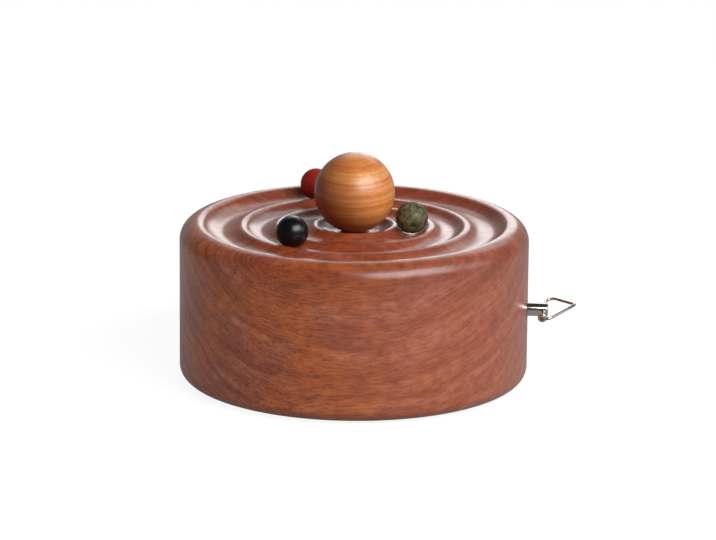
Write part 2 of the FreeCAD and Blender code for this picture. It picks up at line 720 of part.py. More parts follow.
def mainspring():
    """A coiled strip: half circles whose centres alternate, so that each joins the next smoothly."""
    thick = value("spring_thick")
    first = value("arbor_hub + bearing_gap")
    last = value("barrel_radius - barrel_wall")
    halves = int(value("2 * spring_turns"))
    step = (last - thick - first) / halves

    def side(offset):
        edges = []
        for index in range(halves):
            sign = 1 if index % 2 == 0 else -1
            radius = first + offset + step * (index + 0.5)
            middle = FreeCAD.Vector(-step / 2 if index % 2 else step / 2, 0, 0)
            across, up = FreeCAD.Vector(sign * radius, 0, 0), FreeCAD.Vector(0, sign * radius, 0)
            edges.append(Part.Arc(middle - across, middle + up, middle + across).toShape())
        return edges

    inner, outer = side(0), side(thick)
    caps = [Part.LineSegment(inner[0].Vertexes[0].Point, outer[0].Vertexes[0].Point).toShape(),
            Part.LineSegment(inner[-1].Vertexes[-1].Point, outer[-1].Vertexes[-1].Point).toShape()]
    strip = Part.Face(Part.Wire(Part.__sortEdges__(inner + outer + caps)))
    width = value("barrel_length - 2 * barrel_wall - 2 * end_gap")
    spring = doc.addObject("Part::Feature", "mainspring")
    spring.Shape = strip.extrude(FreeCAD.Vector(0, 0, width))
    return place(spring, "barrel_front + barrel_wall + end_gap", 0, "key_height", ALONG_X)


# Drum shaft

def drum():
    """The pinned drum. Each note has two or three pins, spread as a tune spreads them."""
    low = "(key_height - drum_length / 2)"
    shell = rod("drum_shell", "drum_radius", low, f"{low} + drum_length")
    pins = []
    for note in range(int(value("note_count"))):
        for beat in range(2 + note % 2):
            angle = note * 137.5 + beat * 100 + 31 * (note % 3)
            peg = solid("Part::Cylinder", f"pin_{note + 1}_{beat + 1}", Radius="pin_radius",
                        Height="drum_radius + pin_length")
            spin = FreeCAD.Rotation(FreeCAD.Vector(0, 0, 1), angle).multiply(ALONG_X)
            pins.append(place(peg, 0, 0, f"{low} + drum_end + {note} * note_pitch", spin))
    pinned = join("drum_pinned", [shell] + pins)
    return cut("drum", pinned, [rod("drum_bore", "shaft_radius", low, f"{low} + drum_length")])


def drum_train():
    """The shaft with its two wheels."""
    shaft = rod("drum_shaft", "shaft_radius", "frame_bottom + end_gap", "carrier_top")
    pinion = spur("pinion_stock", "drum_teeth", "drive_module", "pinion_width")
    place(pinion, z="key_height + crown_pitch - pinion_width / 2")
    wheel = spur("wheel_stock", "wheel_teeth", "train_module", "wheel_width")
    place(wheel, z="wheel_bottom")
    hub = rod("wheel_hub", "2 * shaft_radius", "frame_floor + end_gap", "wheel_bottom")
    wheel = join("wheel_with_hub", [wheel, hub])
    return (shaft, cut("drum_pinion", pinion, [shaft]), cut("drum_wheel", wheel, [shaft]))


def magnet_carrier():
    """Three arms under the top, each with a cup for a magnet below its ball's path."""
    pieces = [rod("carrier_boss", "carrier_hub", "frame_top + end_gap", "carrier_top")]
    magnets, seats = [], []
    for ring in ("inner", "outer", "middle"):
        angle = ring + "_turn"
        spin = FreeCAD.Rotation(FreeCAD.Vector(0, 0, 1), value(angle))
        arm = solid("Part::Box", ring + "_arm", Length=ring + "_orbit", Width="carrier_arm",
                    Height="carrier_thick")
        place(arm, f"carrier_arm / 2 * sin({angle})", f"-carrier_arm / 2 * cos({angle})", "carrier_bottom",
              spin)
        x, y = f"{ring}_orbit * cos({angle})", f"{ring}_orbit * sin({angle})"
        cup = rod(ring + "_cup", "carrier_magnet_radius + cup_wall", "carrier_bottom",
                  "magnet_top - carrier_magnet_length / 3", x, y)
        pieces += [arm, cup]
        magnets.append(rod(ring + "_carrier_magnet", "carrier_magnet_radius",
                           "magnet_top - carrier_magnet_length", "magnet_top", x, y))
    whole = join("carrier_cast", pieces)
    return cut("magnet_carrier", whole, magnets + [doc.getObject("drum_shaft")]), magnets


# Frame and comb

def movement_frame(screws):
    """One casting: bedplate, arms for the drum shaft, a floor for the governor, a rail for the comb."""
    plate = block("bedplate", ("bedplate_front", "bedplate_back"), ("-bedplate_right", "bedplate_left"),
                  ("frame_bottom", "frame_top"))
    upper = block("upper_arm", ("-arm_nose", "bedplate_front"), ("-arm_width / 2", "arm_width / 2"),
                  ("arm_height", "frame_top"))
    floor = block("frame_floor_plate", ("cheek_left", "bedplate_front"),
                  ("-arm_width / 2", "back_plate + foot_width"), ("frame_bottom", "frame_floor"))
    rail = block("comb_rail", ("comb_thick / 2", "bedplate_front"), ("-comb_back", "-comb_root"),
                 ("comb_low", "comb_high"))
    bearing = rod("drum_bearing", "shaft_radius + bearing_gap", "frame_bottom", "frame_top")
    way = rod("arbor_bearing", "arbor_radius + bearing_gap", "bedplate_front", "bedplate_back", turn=ALONG_X,
              z="key_height")
    pivot = rod("governor_bearing", "governor_shaft + bearing_gap", "frame_bottom", "frame_floor",
                "governor_x", "governor_y")
    return cut("movement_frame", join("frame_casting", [plate, upper, floor, rail]),
               [bearing, way, pivot] + screws)


def comb_screws():
    screws = []
    for number, side in enumerate(("-", ""), 1):
        one = small_screw(f"comb_screw_{number}", "comb_screw_length")
        place(one, "-comb_thick / 2", "-comb_root - comb_depth / 2",
              f"key_height + {side}comb_screw_spread / 2", ALONG_X)
        screws.append(one)
    return screws


def comb(screws):
    """A steel plate sawn into teeth, thicker at its root."""
    body = doc.addObject("PartDesign::Body", "comb_sawn")
    first = "(key_height - note_count / 2 * note_pitch)"
    last = "(key_height + note_count / 2 * note_pitch)"
    root = polygon(body, "YZ_Plane", "comb_root_outline", [
        ("-comb_back", "comb_low"), ("-comb_root", "comb_low"), ("-comb_root", "comb_high"),
        ("-comb_back", "comb_high")])
    pad(body, "comb_root_plate", root, "comb_thick", "-comb_thick / 2")
    blade = polygon(body, "YZ_Plane", "comb_blade_outline", [
        ("-comb_root - 1", first), ("-comb_tip", first), ("-comb_tip", last), ("-comb_root - 1", last)])
    pad(body, "comb_blade", blade, "tooth_thick", "-tooth_thick / 2")
    low = f"({first} + note_pitch - comb_slot / 2)"
    slot = polygon(body, "YZ_Plane", "comb_slot_outline", [
        ("-comb_root", low), ("-comb_tip + 1", low), ("-comb_tip + 1", f"{low} + comb_slot"),
        ("-comb_root", f"{low} + comb_slot")])
    saw = feature(body, "Pocket", "comb_saw_cut", slot, Length="2 * comb_thick")
    saw.Midplane = True
    rows = body.newObject("PartDesign::LinearPattern", "comb_saw_cuts")
    rows.Originals = [saw]
    rows.Direction = (slot, ["V_Axis"])
    rows.setExpression("Length", bound("(note_count - 2) * note_pitch"))
    rows.setExpression("Occurrences", bound("note_count - 1"))
    body.Tip = rows
    return cut("comb", body, screws)


# Governor

def governor_gear():
    """The first governor shaft: a pinion below and the worm wheel above."""
    shaft = rod("governor_rod", "governor_shaft", "frame_bottom + end_gap", "cheek_top - end_gap",
                "governor_x", "governor_y")
    pinion = spur("governor_pinion", "pinion_teeth", "train_module", "wheel_width + 2 * bearing_gap")
    # a gap of the pinion faces the tooth of the drum's wheel that is nearest to it
    facing = value("governor_turn") + 180
    tooth_step = 360 / value("pinion_teeth")
    wheel_step = 360 / value("wheel_teeth")
    ahead = value("governor_turn") % wheel_step / wheel_step
    pinion_spin = FreeCAD.Rotation(FreeCAD.Vector(0, 0, 1), facing + tooth_step * (0.5 + ahead))
    place(pinion, "governor_x", "governor_y", "wheel_bottom - bearing_gap", pinion_spin)
    wheel = spur("worm_wheel", "worm_wheel_teeth", "train_module", "worm_wheel_width")
    place(wheel, "governor_x", "governor_y", "worm_height - worm_wheel_width / 2",
          FreeCAD.Rotation(FreeCAD.Vector(0, 0, 1), 90))
    collar = rod("governor_collar", "2 * governor_shaft", "wheel_top", "worm_height - worm_wheel_width / 2",
                 "governor_x", "governor_y")
    return join("governor_gear", [shaft, pinion, collar, wheel])


def governor_fan():
    """The worm's shaft, drawn up its own Z axis, with the worm's thread and the fan."""
    low, high = "(cheek_left - governor_x + cheek_thick / 2)", "(cheek_right - governor_x + cheek_thick / 2)"
    body = turned("governor_fan", [("0", low), ("worm_core", low), ("worm_core", high), ("0", high)])
    # a right-hand thread; with a quarter turn over whole ones it leaves a gap facing the wheel's tooth
    half = "(train_module * pi / 4)"
    root, tip = "(worm_core - 0.1)", "(worm_radius + 0.7 * train_module)"
    section = polygon(body, "XZ_Plane", "thread_outline", [
        (root, f"-worm_reach - 0.75 * {half}"), (tip, f"-worm_reach - 0.25 * {half}"),
        (tip, f"-worm_reach + 0.25 * {half}"), (root, f"-worm_reach + 0.75 * {half}")])
    thread = feature(body, "AdditiveHelix", "worm_thread", section)
    thread.ReferenceAxis = (section, ["V_Axis"])
    thread.Mode = 0
    thread.setExpression("Pitch", bound("pi * train_module"))
    thread.setExpression("Height", bound("2 * worm_reach"))
    start = "(worm_reach + fan_length)"
    vane = polygon(body, "XZ_Plane", "fan_outline", [
        ("-fan_radius", start), ("fan_radius", start), ("fan_radius", f"{start} + fan_length"),
        ("-fan_radius", f"{start} + fan_length")])
    blade = feature(body, "Pad", "fan_vane", vane, Length="fan_thick")
    blade.Midplane = True
    return place(body, "governor_x", "worm_y", "worm_height", ALONG_X)


def governor_frame():
    """A bent plate: two cheeks for the worm, a back, a foot and a tab over the wheel's shaft."""
    reach = ("worm_y - 2 * cheek_thick", "back_plate")
    rise = ("frame_floor", "cheek_top")
    left = block("left_cheek", ("cheek_left", "cheek_left + cheek_thick"), reach, rise)
    right = block("right_cheek", ("cheek_right", "cheek_right + cheek_thick"), reach, rise)
    length = ("cheek_left", "cheek_right + cheek_thick")
    back = block("governor_back", length, ("back_plate", "back_plate + cheek_thick"), rise)
    foot = block("governor_foot", length, ("back_plate", "back_plate + foot_width"),
                 ("frame_floor", "frame_floor + cheek_thick"))
    tab = block("governor_tab", ("governor_x - tab_width / 2", "governor_x + tab_width / 2"),
                ("governor_y - 2 * governor_shaft", "back_plate"), ("cheek_top - cheek_thick", "cheek_top"))
    hole = rod("governor_tab_hole", "governor_shaft + bearing_gap", "cheek_top - cheek_thick", "cheek_top",
               "governor_x", "governor_y")
    way = rod("worm_way", "worm_core + bearing_gap", "cheek_left", "cheek_right + cheek_thick", turn=ALONG_X,
              y="worm_y", z="worm_height")
    screws = []
    down = FreeCAD.Rotation(FreeCAD.Vector(1, 0, 0), 180)
    for number, x in enumerate(("cheek_left + foot_width", "cheek_right - foot_width"), 1):
        one = small_screw(f"governor_screw_{number}", "cheek_thick + frame_thick")
        y = "back_plate + cheek_thick + (foot_width - cheek_thick) / 2"
        place(one, x, y, "frame_floor + cheek_thick", down)
        screws.append(one)
    plate = join("governor_plate", [left, right, back, foot, tab])
    return cut("governor_frame", plate, [hole, way] + screws), screws


def write_parts(parts):
    os.makedirs("parts", exist_ok=True)
    doc.recompute()
    for thing in doc.Objects:
        if "Invalid" in thing.State or "Error" in thing.State:
            raise RuntimeError(f"{thing.Name} did not recompute: {thing.State}")
    for part in parts:
        shape = part.Shape
        if shape.isNull() or not shape.isValid() or not shape.Solids:
            raise RuntimeError(f"{part.Label} has no valid solid")
        shape.exportStep(f"parts/{part.Label}.step")
        print(f"{part.Label}: {len(shape.Solids)} solid, {shape.Volume:.1f} mm3")


def main():
    fill_sheet()
    felt, plate, base_screws, blocks = base_parts()
    board, board_screws, frame_screws = plank_and_screws()
    base = cut("base_plate", plate, base_screws + board_screws)
    sun_ball, sun_dowel = sun()
    planets = [piece for ring in ("inner", "outer", "middle") for piece in planet(ring)]
    stem, bail = key_stem(), key_bail()
    arbor, collar = winding_arbor()
    shaft, pinion, wheel = drum_train()
    carrier, magnets = magnet_carrier()
    notes = comb_screws()
    cage, cage_screws = governor_frame()
    frame = movement_frame(frame_screws + notes + cage_screws)
    write_parts([
        case_body(), felt, base, *base_screws, *blocks, board, *board_screws, sun_ball, sun_dowel, *planets,
        stem, bail, arbor, collar, frame, *frame_screws, comb(notes), *notes, cage, *cage_screws,
        spring_barrel(), barrel_cap(), mainspring(), shaft, drum(), pinion, wheel, carrier, *magnets,
        governor_gear(), governor_fan()])


main()
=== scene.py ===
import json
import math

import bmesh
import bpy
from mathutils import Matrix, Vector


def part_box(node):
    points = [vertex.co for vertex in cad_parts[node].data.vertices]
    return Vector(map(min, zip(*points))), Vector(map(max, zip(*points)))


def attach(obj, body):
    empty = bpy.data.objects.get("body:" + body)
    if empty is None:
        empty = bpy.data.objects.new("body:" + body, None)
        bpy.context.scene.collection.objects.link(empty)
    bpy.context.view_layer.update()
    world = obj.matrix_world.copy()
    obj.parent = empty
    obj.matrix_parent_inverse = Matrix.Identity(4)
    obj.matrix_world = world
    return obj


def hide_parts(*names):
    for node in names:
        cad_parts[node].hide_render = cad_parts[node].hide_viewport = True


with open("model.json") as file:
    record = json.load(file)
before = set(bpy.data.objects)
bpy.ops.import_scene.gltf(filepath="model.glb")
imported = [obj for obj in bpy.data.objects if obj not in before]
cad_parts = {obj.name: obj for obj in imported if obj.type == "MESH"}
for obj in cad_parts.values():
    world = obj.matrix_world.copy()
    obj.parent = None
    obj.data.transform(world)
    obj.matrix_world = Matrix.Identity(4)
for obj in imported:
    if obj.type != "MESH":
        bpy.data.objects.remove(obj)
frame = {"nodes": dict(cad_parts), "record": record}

# %% [markdown]
# # A wooden planet music box
#
# The box is a turned case of reddish hardwood. A big light ball, the sun, stands in the middle of its top,
# and three small coloured balls run round it in grooves. A wind-up key with a wire loop is at the side.
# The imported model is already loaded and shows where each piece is. This lesson dresses it: the turned
# pieces, the key and the felt are modelled again with their real shapes, and every piece gets its finish.
# Blender works in metres and radians, so two helpers turn millimetres and degrees into them.

scene = bpy.context.scene
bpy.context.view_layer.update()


def mm(length):
    """Millimetres as metres."""
    return length / 1000


def deg(angle):
    """Degrees as radians."""
    return math.radians(angle)


# %% [markdown]
# ## The camera
#
# The box is looked at a little from above, from far off with a long lens, so that the rim is a flat
# ellipse and the sides stand upright. The camera is placed by its angles round a point on the case's axis,
# with a helper that places the lamps later. A small shift and a small roll finish the framing, and there
# is no depth of field.

# %% Camera
look_at = Vector((0, 0, mm(41)))
camera_distance = 1.6
camera_azimuth = deg(6)
camera_elevation = deg(14.94)
camera_roll = deg(0.485)


def set_round_box(holder, azimuth, elevation, distance, roll=0.0):
    """Places a camera or a lamp and aims it at the box. Azimuth 0 is in front, 90 at the right."""
    level = math.cos(elevation)
    away = Vector((math.sin(azimuth) * level, -math.cos(azimuth) * level, math.sin(elevation)))
    facing = (-away).to_track_quat("-Z", "Y")
    holder.location = look_at + away * distance
    holder.rotation_mode = "QUATERNION"
    holder.rotation_quaternion = facing @ Matrix.Rotation(roll, 3, "Z").to_quaternion()
    scene.collection.objects.link(holder)


lens = bpy.data.cameras.new("camera")
lens.sensor_width = 36
lens.lens = 215.75
lens.shift_x = 0.0056
lens.shift_y = 0.001
camera = bpy.data.objects.new("camera", lens)
set_round_box(camera, camera_azimuth, camera_elevation, camera_distance, camera_roll)
scene.camera = camera
print("the camera stands at", [round(c, 3) for c in camera.location])

# %% [markdown]
# ## How the turned pieces are made
#
# The case, the sun and the planets are all made on a lathe, so here they are made the same way: half of the
# section is drawn in the XZ plane and spun round the Z axis. The section starts as a plane that is merged
# to one point. Extrude draws the straight legs. Spin draws the arcs, because a point that is spun round a
# centre leaves an arc behind it, and that gives true circles with as many steps as the curve needs.

# %% Draw a section
def start_at(name, radius, height):
    """A new mesh in edit mode: one point of a section."""
    bpy.ops.object.select_all(action="DESELECT")
    bpy.ops.mesh.primitive_plane_add(size=mm(1), location=(0, 0, 0))
    piece = bpy.context.active_object
    piece.name = name
    bpy.ops.object.mode_set(mode="EDIT")
    bpy.ops.mesh.select_mode(type="VERT")
    bpy.ops.mesh.merge(type="CENTER")
    bpy.ops.transform.translate(value=(radius, 0, height))
    return piece


def line(start, end):
    """Extrudes the section's last point from start to end, both (radius, height)."""
    step = (end[0] - start[0], 0, end[1] - start[1])
    bpy.ops.mesh.extrude_region_move(TRANSFORM_OT_translate={"value": step})


def arc(start, end, centre, step=deg(4), fewest=6):
    """Spins the section's last point round a centre, the short way. Spin turns clockwise about its axis."""
    one = Vector((start[0] - centre[0], start[1] - centre[1]))
    two = Vector((end[0] - centre[0], end[1] - centre[1]))
    turn = math.atan2(one.x * two.y - one.y * two.x, one.dot(two))
    steps = max(fewest, math.ceil(abs(turn) / step))
    bpy.ops.mesh.spin(steps=steps, angle=turn, center=(centre[0], 0, centre[1]), axis=(0, 1, 0))


def draw_section(name, start, legs):
    """A leg is (end,) for a line or (end, centre) for an arc, all as (radius, height)."""
    piece = start_at(name, *start)
    here = start
    for leg in legs:
        if len(leg) == 1:
            line(here, leg[0])
        else:
            arc(here, *leg)
        here = leg[0]
    return piece


def round_corner(piece, radius, height, width, steps=3, reach=mm(0.02)):
    """Rounds the section's corner at this place with a bevel of its point."""
    mesh = bmesh.from_edit_mesh(piece.data)
    for point in mesh.verts:
        point.select = (point.co - Vector((radius, 0, height))).length < reach
    mesh.select_flush_mode()
    bmesh.update_edit_mesh(piece.data)
    bpy.ops.mesh.bevel(affect="VERTICES", offset=width, segments=steps, profile=0.5)


# %% Spin a section and finish the mesh
full_turn = deg(360)


def spin_round(piece, steps):
    """Spins the section once round the Z axis and closes it."""
    bpy.ops.mesh.select_all(action="SELECT")
    bpy.ops.mesh.spin(steps=steps, angle=full_turn, center=(0, 0, 0), axis=(0, 0, 1))
    finish_mesh(piece)


def finish_mesh(piece, sharp=deg(30)):
    """Merges the seam, points the faces outwards and shades the piece smooth but for its sharp edges."""
    bpy.ops.mesh.select_all(action="SELECT")
    bpy.ops.mesh.remove_doubles(threshold=mm(0.001))
    bpy.ops.mesh.normals_make_consistent(inside=False)
    bpy.ops.object.mode_set(mode="OBJECT")
    bpy.ops.object.shade_smooth_by_angle(angle=sharp)
    print(piece.name, "has", len(piece.data.polygons), "faces")


# %% [markdown]
# ## The case
#
# The case is one thick disc of wood. Three ring grooves and a dish are scooped out of its top, each a
# simple arc, and they meet in narrow crests. The upper outer edge has a generous rounding, the lower one a
# smaller, and the inside is hollow for the movement. A turner breaks the crests with sandpaper, and the
# thin line of light that runs along them comes from that rounding. It is a small circle that touches both
# neighbouring arcs, so its centre is where two wider circles round the arcs' centres meet.

# %% The case's grooves
case_low, case_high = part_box("case_body")
case_radius = case_high.y
case_top = case_high.z
case_bottom = case_low.z
groove_depth = mm(3.6)
groove_floor = case_top - groove_depth
grooves = {"outer": (mm(49.2), mm(9.2)), "middle": (mm(35.15), mm(7)), "inner": (mm(21.6), mm(7.6)),
           "dish": (mm(8), mm(7.8))}
groove_middle = {name: (orbit, groove_floor + scoop) for name, (orbit, scoop) in grooves.items()}


def meet(one, reach_one, two, reach_two, upper=False):
    """Where circles round two centres meet, the lower place or the upper one."""
    one, two = Vector(one), Vector(two)
    apart = two - one
    along = (apart.length_squared + reach_one ** 2 - reach_two ** 2) / (2 * apart.length)
    off = math.sqrt(reach_one ** 2 - along ** 2)
    side = apart.normalized()
    across = Vector((side.y, -side.x))
    if (across.y > 0) != upper:
        across.negate()
    return one + side * along + across * off


def crest(one, two, rounding):
    """A crest between two grooves: its rounding's ends on the one and the other arc, and its centre."""
    (start, reach_one), (end, reach_two) = [(Vector(groove_middle[g]), grooves[g][1]) for g in (one, two)]
    middle = meet(start, reach_one + rounding, end, reach_two + rounding)
    return (tuple(start + (middle - start).normalized() * reach_one),
            tuple(end + (middle - end).normalized() * reach_two), tuple(middle))


outer_scoop = grooves["outer"][1]
top_round = mm(6.74)
round_middle = Vector((case_radius - top_round, case_top - top_round))
rim_round = mm(3)
crests = [crest("dish", "inner", mm(2)), crest("inner", "middle", mm(3)), crest("middle", "outer", mm(3.2))]
rim_middle = meet(groove_middle["outer"], outer_scoop + rim_round, round_middle, top_round - rim_round,
                  upper=True)
outer_middle = Vector(groove_middle["outer"])
rim_start = tuple(outer_middle + (rim_middle - outer_middle).normalized() * outer_scoop)
rim_end = tuple(round_middle + (rim_middle - round_middle).normalized() * top_round)
print("crests at radius", [round(1000 * place[2][0], 2) for place in crests], round(1000 * rim_middle.x, 2))

# %% Turn the case
bottom_round = mm(4.8)
cavity_radius = mm(55.5)
thinnest_top = mm(3.5)
boss_radius, boss_length = mm(8), mm(3.7)
dowel_radius, dowel_in_case = mm(2.5), mm(6)
ceiling = groove_floor - thinnest_top
boss_end = ceiling - boss_length
dowel_end = groove_floor - dowel_in_case

case = draw_section("turned_case", (0, dowel_end), [
    ((dowel_radius, dowel_end),),
    ((dowel_radius, groove_floor),),
    ((grooves["dish"][0], groove_floor),),
    (crests[0][0], groove_middle["dish"]), (crests[0][1], crests[0][2]),
    (crests[1][0], groove_middle["inner"]), (crests[1][1], crests[1][2]),
    (crests[2][0], groove_middle["middle"]), (crests[2][1], crests[2][2]),
    (rim_start, groove_middle["outer"]), (rim_end, tuple(rim_middle)),
    ((case_radius, round_middle.y), tuple(round_middle)),
    ((case_radius, case_bottom + bottom_round),),
    ((case_radius - bottom_round, case_bottom), (case_radius - bottom_round, case_bottom + bottom_round)),
    ((cavity_radius, case_bottom),),
    ((cavity_radius, ceiling),),
    ((boss_radius, ceiling),),
    ((boss_radius, boss_end),),
    ((0, boss_end),),
])
spin_round(case, steps=192)
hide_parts("case_body")

# %% [markdown]
# ### The key hole
#
# The key's stem comes out through a hole in the wall. A real one is drilled after turning, so the hole is
# a boolean cut: a cylinder is set across the wall and taken away from it, and then it is deleted.

# %% A rod and a cut
def select_only(piece):
    """Selects this piece and nothing else."""
    bpy.ops.object.select_all(action="DESELECT")
    piece.select_set(True)
    bpy.context.view_layer.objects.active = piece


def rod(name, radius, start, end, around=48):
    """A cylinder between two places, whose place is in its mesh."""
    bpy.ops.object.select_all(action="DESELECT")
    start, end = Vector(start), Vector(end)
    turn = (end - start).to_track_quat("Z", "Y").to_euler()
    bpy.ops.mesh.primitive_cylinder_add(vertices=around, radius=radius, depth=(end - start).length,
                                        location=(start + end) / 2, rotation=turn)
    piece = bpy.context.active_object
    piece.name = name
    bpy.ops.object.transform_apply(location=True, rotation=True, scale=True)
    return piece


def cut_away(piece, cutter):
    """Takes the cutter's shape out of the piece, and deletes the cutter."""
    select_only(piece)
    knife = piece.modifiers.new("cut", "BOOLEAN")
    knife.operation = "DIFFERENCE"
    knife.solver = "EXACT"
    knife.object = cutter
    bpy.ops.object.modifier_apply(modifier=knife.name)
    bpy.data.objects.remove(cutter)


# %% Drill the key hole
stem_low, stem_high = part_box("key_stem")
key_height = (stem_low.z + stem_high.z) / 2
stem_radius = (stem_high.z - stem_low.z) / 2
key_hole_radius = mm(3.5)
overshoot = mm(3)
drill = rod("drill", key_hole_radius, (cavity_radius - overshoot, 0, key_height),
            (case_radius + overshoot, 0, key_height))
cut_away(case, drill)
bpy.ops.object.shade_smooth_by_angle(angle=deg(30))
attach(case, "case")
print("the key hole is", round(2000 * key_hole_radius, 1), "mm across, for a stem of",
      round(2000 * stem_radius, 1))

# %% [markdown]
# ## The sun
#
# The sun is a ball with a small flat under it, so that it can be glued down, and a hole for its dowel. Its
# section is the hole, the flat and an arc to the top, drawn in two legs because arcs go the short way.

# %% Turn the sun
sun_low, sun_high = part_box("sun_ball")
sun_radius = (sun_high.x - sun_low.x) / 2
sun_middle = sun_high.z - sun_radius
sun_flat = math.sqrt(sun_radius ** 2 - (sun_middle - sun_low.z) ** 2)
dowel_in_sun = mm(8)
dowel_top = groove_floor + dowel_in_sun
sun = draw_section("sun", (0, dowel_top), [
    ((dowel_radius, dowel_top),),
    ((dowel_radius, sun_low.z),),
    ((sun_flat, sun_low.z),),
    ((sun_radius, sun_middle), (0, sun_middle)),
    ((0, sun_high.z), (0, sun_middle)),
])
spin_round(sun, steps=128)
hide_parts("sun_ball")
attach(sun, "case")

# %% [markdown]
# ## The planets
#
# The three small balls are the same ball in three colours. Each has a hole from below with a magnet in
# it, which the moving magnets under the top drag along. The ball is turned once on the Z axis, and each
# planet is a copy with its own mesh that is moved to its place in its groove.

# %% Turn one planet and set out three
magnet_low, magnet_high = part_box("inner_ball_magnet")
planet_low, planet_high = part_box("inner_ball")
planet_radius = (planet_high.x - planet_low.x) / 2
planet_middle = planet_high.z - planet_radius
hole_radius = (magnet_high.x - magnet_low.x) / 2
hole_edge = planet_middle - math.sqrt(planet_radius ** 2 - hole_radius ** 2)
broken_edge = mm(0.2)
pattern = draw_section("planet_pattern", (0, magnet_high.z), [
    ((hole_radius, magnet_high.z),),
    ((hole_radius, hole_edge),),
    ((planet_radius, planet_middle), (0, planet_middle)),
    ((0, planet_high.z), (0, planet_middle)),
])
round_corner(pattern, hole_radius, hole_edge, broken_edge)
spin_round(pattern, steps=96)

planets = {"green_planet": ("inner_ball", "inner_planet", "green_wood"),
           "black_planet": ("middle_ball", "middle_planet", "black_wood"),
           "red_planet": ("outer_ball", "outer_planet", "red_wood")}
planet_of_wood = {}
for name, (node, body, wood) in planets.items():
    low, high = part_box(node)
    select_only(pattern)
    bpy.ops.object.duplicate()
    planet = bpy.context.active_object
    planet.name = name
    bpy.ops.transform.translate(value=((low.x + high.x) / 2, (low.y + high.y) / 2, 0))
    bpy.ops.object.transform_apply(location=True, rotation=True, scale=True)
    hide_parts(node)
    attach(planet, body)
    planet_of_wood[wood] = planet
    print(name, "runs at", round(1000 * math.hypot(*planet.data.vertices[0].co.xy), 1), "mm")
bpy.data.objects.remove(pattern)

# %% [markdown]
# ## The key's stem
#
# The stem is a nickel plated rod with broken end edges and a cross hole for the wire. It starts as a
# cylinder, its end edges are bevelled, and the hole is drilled as the key hole was.

# %% Bevel a rod's ends
def select_faces(piece, wanted):
    """Selects the faces of the mesh in edit mode that wanted() picks, and no others."""
    mesh = bmesh.from_edit_mesh(piece.data)
    for face in mesh.faces:
        face.select = wanted(face)
    bmesh.update_edit_mesh(piece.data)


def bevel_ends(piece, axis, width=mm(0.4), along=0.9):
    """Rounds both end edges of a rod that lies along axis 0, 1 or 2, and stays in edit mode."""
    bpy.ops.object.mode_set(mode="EDIT")
    bpy.ops.mesh.select_mode(type="FACE")
    select_faces(piece, lambda face: abs(face.normal[axis]) > along)
    bpy.ops.mesh.bevel(affect="EDGES", offset=width, segments=3)


# %% Make the stem
key_turn = deg(2)
wire_hole_radius = mm(0.65)
wire_hole_from_end = mm(1.4)
wire_hole_reach = stem_radius + mm(1)
stem = rod("winding_stem", stem_radius, (stem_low.x, 0, key_height), (stem_high.x, 0, key_height), around=64)
bevel_ends(stem, 0)
bpy.ops.object.mode_set(mode="OBJECT")
pivot = Vector((stem_high.x - wire_hole_from_end, 0, key_height))
pivot_line = Vector((0, math.cos(key_turn), math.sin(key_turn)))
to_drill_end = pivot_line * wire_hole_reach
cut_away(stem, rod("drill", wire_hole_radius, pivot - to_drill_end, pivot + to_drill_end, around=24))
bpy.ops.object.shade_smooth_by_angle(angle=deg(25))
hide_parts("key_stem")
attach(stem, "key")
print("the stem stands out", round(1000 * (stem_high.x - case_radius), 1), "mm")

# %% [markdown]
# ## The wire bail
#
# The bail is one loop of round wire through the stem's cross hole: straight along the pivot, round two
# tight corners, and up to a blunt tip. A wire is bent from a straight piece, and it is modelled that way:
# a circle, the wire's section, is extruded along each straight run and spun round the centre of each
# bend. It is laid out flat first, X away from the stem and Y along the pivot, and then swung into place.

# %% Helpers for bending wire
wire_radius = mm(0.55)
corner_radius, corner_x, corner_y = mm(2), mm(2), mm(10.5)
tip_radius, tip_x = mm(1.7), mm(9.8)
lean = Vector((tip_x - corner_x, -corner_y))
side_run = math.sqrt(lean.length_squared - (corner_radius - tip_radius) ** 2)
side_normal = math.atan2(lean.y, lean.x) + math.acos((corner_radius - tip_radius) / lean.length)
corner_bend, corner_steps = deg(180) - side_normal, 16
tip_bend, tip_steps = 2 * side_normal, 10
bail_lift = deg(12)


def wire_end(name, around, place, turn=(0, 0, 0)):
    """A circle as wide as the wire, selected in edit mode, to be drawn out into a bent wire."""
    bpy.ops.object.select_all(action="DESELECT")
    bpy.ops.mesh.primitive_circle_add(vertices=around, radius=wire_radius, location=place, rotation=turn)
    piece = bpy.context.active_object
    piece.name = name
    bpy.ops.object.transform_apply(location=True, rotation=True, scale=True)
    bpy.ops.object.mode_set(mode="EDIT")
    bpy.ops.mesh.select_mode(type="VERT")
    bpy.ops.mesh.select_all(action="SELECT")
    return piece


def run(length, heading):
    """Extrudes the wire's end straight on, heading measured from +X."""
    step = (length * math.cos(heading), length * math.sin(heading), 0)
    bpy.ops.mesh.extrude_region_move(TRANSFORM_OT_translate={"value": step})


def bend(angle, centre, steps):
    """Spins the wire's end clockwise round a bend's centre."""
    bpy.ops.mesh.spin(steps=steps, angle=angle, center=centre, axis=(0, 0, 1))


def hang_on_pivot(piece):
    """Finishes a wire that was laid out flat, and swings it into place on the stem."""
    finish_mesh(piece, deg(60))
    swing = Matrix.Rotation(key_turn, 4, "X") @ Matrix.Rotation(-bail_lift, 4, "Y")
    piece.matrix_world = Matrix.Translation(pivot) @ swing
    bpy.ops.object.transform_apply(location=True, rotation=True, scale=True)


